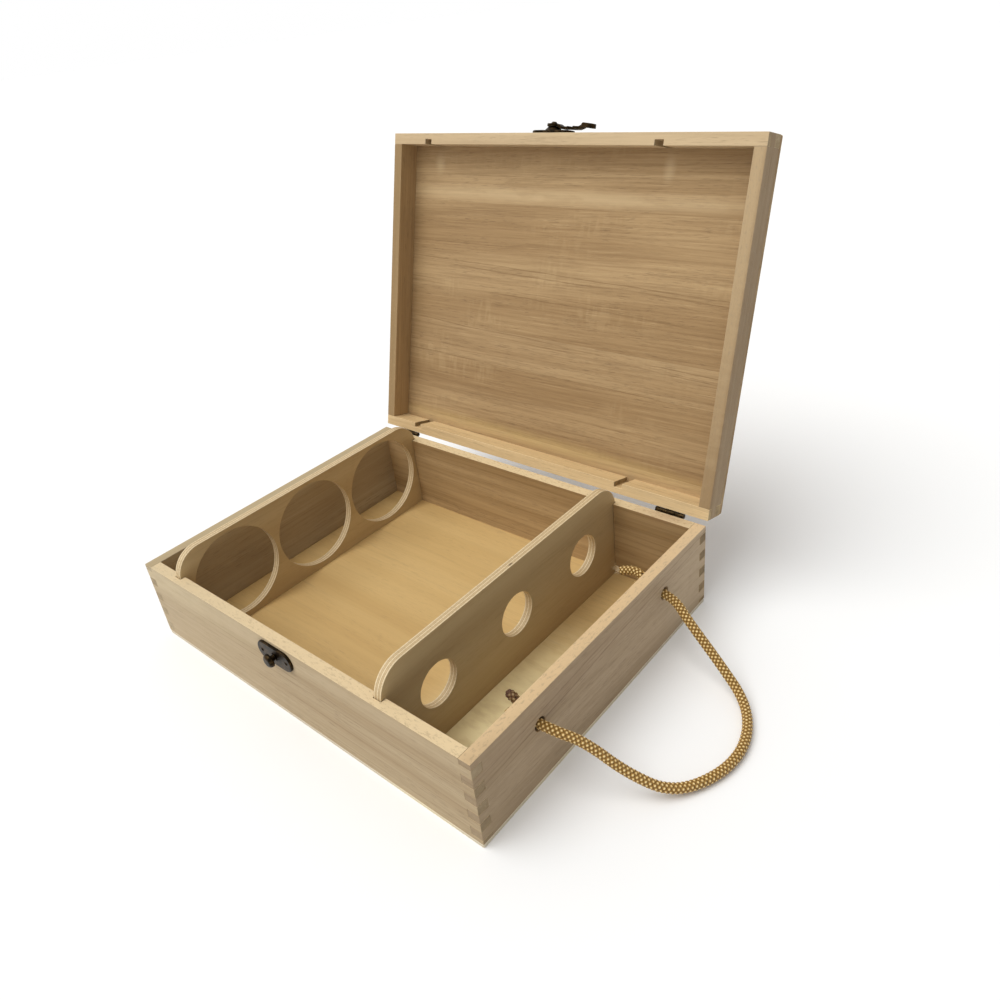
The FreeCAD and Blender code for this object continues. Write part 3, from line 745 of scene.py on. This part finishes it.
def ringFrames(path):      # a tangent and two steady cross directions at each point
    tangents = []
    for i in range(len(path)):
        ahead = path[min(i + 1, len(path) - 1)]
        behind = path[max(i - 1, 0)]
        tangents.append((ahead - behind).normalized())
    side = tangents[0].orthogonal().normalized()
    frames = []
    for tangent in tangents:
        side = (side - tangent * side.dot(tangent)).normalized()
        frames.append((tangent, side, tangent.cross(side)))
    return frames


def tube(rings):      # vertices and faces of a tube through rings of points, its ends capped
    sides = len(rings[0])
    points = [p for ring in rings for p in ring]
    faces = []
    for i in range(len(rings) - 1):
        for j in range(sides):
            k = (j + 1) % sides
            faces.append((i * sides + j, i * sides + k, (i + 1) * sides + k, (i + 1) * sides + j))
    last = (len(rings) - 1) * sides
    faces.append(tuple(reversed(range(sides))))
    faces.append(tuple(range(last, last + sides)))
    return points, faces


def evenAngles(count):      # a whole turn in even steps
    return [2 * math.pi * i / count for i in range(count)]


def coreRings(path, frames, girths, s):
    rings = []
    for point, (_, side, up), girth in zip(path, frames, girths):
        ways = [side * math.cos(t) + up * math.sin(t) for t in evenAngles(s["coreSides"])]
        rings.append([point + way * s["coreRadius"] * girth for way in ways])
    return rings


def strandRings(path, frames, girths, s, way, start):
    # one strand that winds way round from the angle start, over one crossing strand and under the next
    spacing = (path[1] - path[0]).length
    lean = 2 * math.pi * s["strandRadius"] / s["pitch"]
    rings = []
    for i, (point, (tangent, side, up), girth) in enumerate(zip(path, frames, girths)):
        angle = way * 2 * math.pi * i * spacing / s["pitch"] + start
        crossing = 2 * s["strands"] * i * spacing / s["pitch"]
        lift = way * math.cos(math.pi * crossing) * s["weave"]
        out = side * math.cos(angle) + up * math.sin(angle)
        forward = (tangent + tangent.cross(out) * way * lean).normalized()
        across = out.cross(forward)
        middle = point + out * (s["strandRadius"] + lift) * girth
        rings.append([
            middle + across * (math.cos(t) * s["halfWidth"] * girth)
            + out * (math.sin(t) * s["halfThickness"] * girth)
            for t in evenAngles(s["sides"])
        ])
    return rings


def unsealed(share):
    return 1.0, 0.0


def plaitedRope(name, path, s, materials, sealing=unsealed):
    # a core and two sets of strands; sealing gives, at a share of the route, how much of its girth
    # is left and how burnt it is
    frames = ringFrames(path)
    sealed = [sealing(i / (len(path) - 1)) for i in range(len(path))]
    girths = [girth for girth, _ in sealed]
    tubes = [(2, coreRings(path, frames, girths, s))]
    for owner, way in enumerate((1, -1)):
        tubes += [(owner, strandRings(path, frames, girths, s, way, t)) for t in evenAngles(s["strands"])]
    points, faces, owners, crowns, burns = [], [], [], [], []
    for owner, rings in tubes:
        more, quads = tube(rings)
        faces += [tuple(len(points) + i for i in quad) for quad in quads]
        points += more
        owners += [owner] * len(quads)
        for ring, centre, (_, burn) in zip(rings, path, sealed):
            # how far out each point lies, which places the painted highlight and the painted shade on the
            # strands
            crowns += [((p - centre).length - s["shadedHollow"]) / (s["crown"] - s["shadedHollow"]) for p in ring]
            burns += [burn] * len(ring)
    mesh = bpy.data.meshes.new(name)
    mesh.from_pydata(points, [], faces)
    for material in materials:
        mesh.materials.append(material)
    mesh.attributes.new("crown", "FLOAT", "POINT").data.foreach_set("value", crowns)
    mesh.attributes.new("burnt", "FLOAT", "POINT").data.foreach_set("value", burns)
    mesh.polygons.foreach_set("material_index", owners)
    mesh.polygons.foreach_set("use_smooth", [True] * len(faces))
    mesh.update()
    return addObject(name, mesh)


strandFinishes = {
    "risingStrand": {"main": (250, 222, 158), "shade": (240, 206, 138), "glow": (255, 238, 196),
                     "flank": (150, 110, 38), "shadedHollow": (70, 48, 14)},
    "fallingStrand": {"main": (246, 216, 150), "shade": (236, 200, 130), "glow": (255, 236, 190),
                      "flank": (140, 102, 34), "shadedHollow": (64, 44, 12)},
    # the core, a real part of the rope, is coloured dark to stand in for the shade in the gaps between the
    # strands
    "ropeCore": {"main": (88, 60, 28), "shade": (66, 44, 20), "glow": (110, 80, 44),
                 "flank": (72, 48, 22), "shadedHollow": (66, 44, 20)},
}
fibre = {
    "sealed": (82, 48, 22),      # the front tail's melted end
    "broad": 180.0,
    "fine": 2600.0,
    "glowShare": 0.5,
    "rough": (0.48, 0.66),
    "sheen": 0.06,
    "bump": 0.5,
    "fuzz": 0.12 * mm,
}


def fibreMaterial(name, s):
    material, tree, shader = newMaterial(name)
    place = coordinates(tree, "Object")
    broad = noise(tree, place, detail=2.0, scale=fibre["broad"])
    fine = noise(tree, place, detail=4.0, roughness=0.7, scale=fibre["fine"])
    colour = blend(tree, spread(tree, broad, 0.35, 0.65), srgb(s["main"]), srgb(s["shade"]))
    colour = tinted(tree, colour, spread(tree, fine, 0.5, 0.7), fibre["glowShare"], s["glow"])
    if "shadedHollow" in s:      # a painted highlight on the strands' crowns alone, and painted shade, with some darker dye, where they dive under the others
        crown = attribute(tree, "crown")
        flank = blend(tree, spread(tree, crown, 0.10, 0.55), srgb(s["shadedHollow"]), srgb(s["flank"]))
        colour = blend(tree, spread(tree, crown, 0.82, 1.02), flank, colour)
        colour = blend(tree, attribute(tree, "burnt"), colour, srgb(fibre["sealed"]))
    put(tree, shader.inputs["Base Color"], colour)
    put(tree, shader.inputs["Roughness"], spread(tree, fine, 0.3, 0.7, *fibre["rough"]))
    shader.inputs["Sheen Weight"].default_value = fibre["sheen"]
    put(tree, shader.inputs["Normal"], bump(tree, fine, fibre["bump"], fibre["fuzz"]))
    return material


strandMaterials = [fibreMaterial(name, s) for name, s in strandFinishes.items()]
ringGap = plait["pitch"] / (2 * plait["strands"]) / plait["ringsPerCrossing"]
ropePoints = [(rope["wallFace"] + x, y, z) for x, y, z in rope["route"]]
ropePath = smoothRoute("ropeRoute", ropePoints, ringGap)
ropeHandle = plaitedRope("ropeHandle", ropePath, plait, strandMaterials)
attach(ropeHandle, "base")
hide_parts("rope_handle")
print("rope handle plaited,", len(ropePath), "rings")


# Knots behind the wall, each with its tail

knot = {      # places in millimetres
    "start": (165.7, 74.3, 49.0),
    # an overhand knot's route: into the bay, away from the box's middle and up
    "turns": [
        (0.0, 0.0, 0.0), (4.5, 0.3, 0.2), (9.0, 0.6, 0.0), (13.2, 0.5, -1.5), (14.0, 4.0, -4.6),
        (10.2, 6.6, -2.2), (6.2, 5.2, 3.6), (4.2, -0.6, 6.4), (4.6, -5.9, 2.6), (7.4, -5.2, -3.6),
        (9.8, 0.6, -6.2),
    ],
    "lastTurns": {
        "back": [(11.8, 5.4, -2.0), (12.4, 6.2, 2.2)],
        "front": [(12.0, -3.0, -4.8), (12.6, -5.9, -0.8)],
    },
    # where each tail shows over the wall, ending at its tip
    "tails": {
        "back": [(149.5, 81.6, 52.4), (143.0, 81.2, 52.8), (135.4, 79.3, 50.2)],
        "front": [(151.6, -68.3, 51.6), (148.0, -67.8, 52.1), (144.1, -67.1, 52.0)],
    },
    "sealed": {                  # the front tail's melted end
        "length": 0.045,         # share of the route
        "tipGirth": 0.6,
        "scorch": 0.80,          # how burnt the rope is where that end starts
        "fade": 0.06,            # and how much less it is each such length further back
    },
}
tightPlait = {
    **plait, "strandRadius": 2.40 * mm, "coreRadius": 2.0 * mm, "halfWidth": 1.0 * mm,
    "shadedHollow": 2.4 * mm, "crown": 3.35 * mm,
}


def knotPoints(end):      # the front knot is the back one mirrored, but for its last turn
    way = 1 if end == "back" else -1
    x, y, z = knot["start"]
    loops = knot["turns"] + knot["lastTurns"][end]
    points = [(x - into, way * (y + aside), z + up) for into, aside, up in loops]
    return [tuple(c * mm for c in point) for point in points + knot["tails"][end]]


def sealedEnd(share):      # narrower and dark at the tip, and scorched some way back
    s = knot["sealed"]
    left = (1.0 - share) / s["length"]
    if left > 1.0:
        return 1.0, max(0.0, s["scorch"] - s["fade"] * (left - 1.0))
    return s["tipGirth"] + (1.0 - s["tipGirth"]) * left ** 0.5, 1.0


def addKnot(end):
    path = smoothRoute("knotRoute" + end, knotPoints(end), ringGap)
    sealing = sealedEnd if end == "front" else unsealed
    piece = plaitedRope("ropeKnot" + end.capitalize(), path, tightPlait, strandMaterials, sealing)
    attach(piece, "base")
    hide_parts("rope_knot_" + end)
    return piece, path


backKnot, backPath = addKnot("back")
frontKnot, _ = addKnot("front")

fray = {      # lengths in millimetres
    "seed": 7,
    "radius": 0.12,
    "taper": 0.6,                # share of the radius that is gone at a thread's tip
    "roots": (0.2, 2.4),         # how far from the tail's middle the threads start
    "rooted": 0.8,               # and how deep in it
    "curl": 0.9,
    "steps": 5,
    "sides": 3,
    # each tuft's way, threads, length and how far it spreads
    "tufts": [
        {"way": (-0.74, -0.34, 0.56), "threads": 44, "length": (4.5, 8.8), "flare": 0.30},
        {"way": (-0.96, -0.20, -0.20), "threads": 34, "length": (3.0, 6.6), "flare": 0.34},
    ],
    "finish": {"main": (236, 220, 186), "shade": (206, 178, 130), "glow": (252, 246, 230)},
}


def addFray(path, s):      # loose threads at the back tail's cut end
    chance = random.Random(s["seed"])
    tip = path[-1]
    tangent, side, up = ringFrames(path)[-1]
    points, faces = [], []
    for tuft in s["tufts"]:
        way = Vector(tuft["way"]).normalized()
        for _ in range(tuft["threads"]):
            angle = chance.uniform(0, 2 * math.pi)
            out = side * math.cos(angle) + up * math.sin(angle)
            root = tip + out * chance.uniform(*s["roots"]) * mm - tangent * s["rooted"] * mm
            length = chance.uniform(*tuft["length"]) * mm
            aim = (way + out * chance.uniform(0.0, tuft["flare"])).normalized()
            curl = Vector([chance.uniform(-1.0, 1.0) for _ in range(3)]) * s["curl"] * mm
            rings = []
            for i in range(s["steps"] + 1):
                share = i / s["steps"]
                centre = root + (tangent * (1 - share) + aim * share) * length * share + curl * share ** 2
                thin = s["radius"] * mm * (1.0 - s["taper"] * share)
                rings.append([
                    centre + (side * math.cos(t) + up * math.sin(t)) * thin for t in evenAngles(s["sides"])
                ])
            more, quads = tube(rings)
            faces += [tuple(len(points) + i for i in quad) for quad in quads]
            points += more
    mesh = bpy.data.meshes.new("frayedEnd")
    mesh.from_pydata(points, [], faces)
    mesh.materials.append(fibreMaterial("frayedThread", s["finish"]))
    piece = addObject("frayedEnd", mesh)
    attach(piece, "base")
    return piece


frayedEnd = addFray(backPath, fray)
print("knots tied")


# Studio: pale floor, soft light from the upper left

studio = {
    "floor": {"size": 60.0, "colour": (250, 250, 249), "rough": 0.9, "gloss": 0.1},
    "around": {"level": 0.60, "slope": (-0.26, -0.10, 0.0), "colour": (1.0, 1.0, 1.0, 1.0)},
    "key": {"from": (-0.66, -1.08, 2.70), "angle": 46.0, "strength": 1.75, "colour": (1.0, 0.998, 0.994)},
}


def addFloor(s):
    half = s["size"] / 2
    corners = [(-half, -half, 0), (half, -half, 0), (half, half, 0), (-half, half, 0)]
    mesh = bpy.data.meshes.new("studioFloor")
    mesh.from_pydata(corners, [], [(0, 1, 2, 3)])
    floor = addObject("studioFloor", mesh)
    material, _, shader = newMaterial("studioFloorPaint")
    shader.inputs["Base Color"].default_value = srgb(s["colour"])
    shader.inputs["Roughness"].default_value = s["rough"]
    shader.inputs["Specular IOR Level"].default_value = s["gloss"]
    mesh.materials.append(material)


def addKeyLight(s):
    data = bpy.data.lights.new("keyLight", "SUN")
    data.angle = math.radians(s["angle"])
    data.energy = s["strength"]
    data.color = s["colour"]
    lamp = addObject("keyLight", data)
    lamp.location = s["from"]
    lamp.rotation_euler = (-Vector(s["from"])).to_track_quat("-Z", "Y").to_euler()


def addWorld(s):      # white to the eye; as light it is stronger from the left and the front
    world = bpy.data.worlds.new("studioWorld")
    world.use_nodes = True
    tree = world.node_tree
    light = tree.nodes["Background"]
    lean = vectorMaths(tree, "DOT_PRODUCT", coordinates(tree, "Generated"), s["slope"])
    put(tree, light.inputs["Strength"], maths(tree, "ADD", lean, s["level"]))
    light.inputs["Color"].default_value = s["colour"]
    seen = tree.nodes.new("ShaderNodeBackground")
    seen.inputs["Color"].default_value = s["colour"]
    seen.inputs["Strength"].default_value = 1.0
    mixed = tree.nodes.new("ShaderNodeMixShader")
    put(tree, mixed.inputs[0], tree.nodes.new("ShaderNodeLightPath").outputs["Is Camera Ray"])
    put(tree, mixed.inputs[1], light.outputs[0])
    put(tree, mixed.inputs[2], seen.outputs[0])
    put(tree, tree.nodes["World Output"].inputs["Surface"], mixed.outputs[0])
    bpy.context.scene.world = world


addFloor(studio["floor"])
addKeyLight(studio["key"])
addWorld(studio["around"])
bpy.context.scene.view_settings.view_transform = "Standard"
print("studio lit")
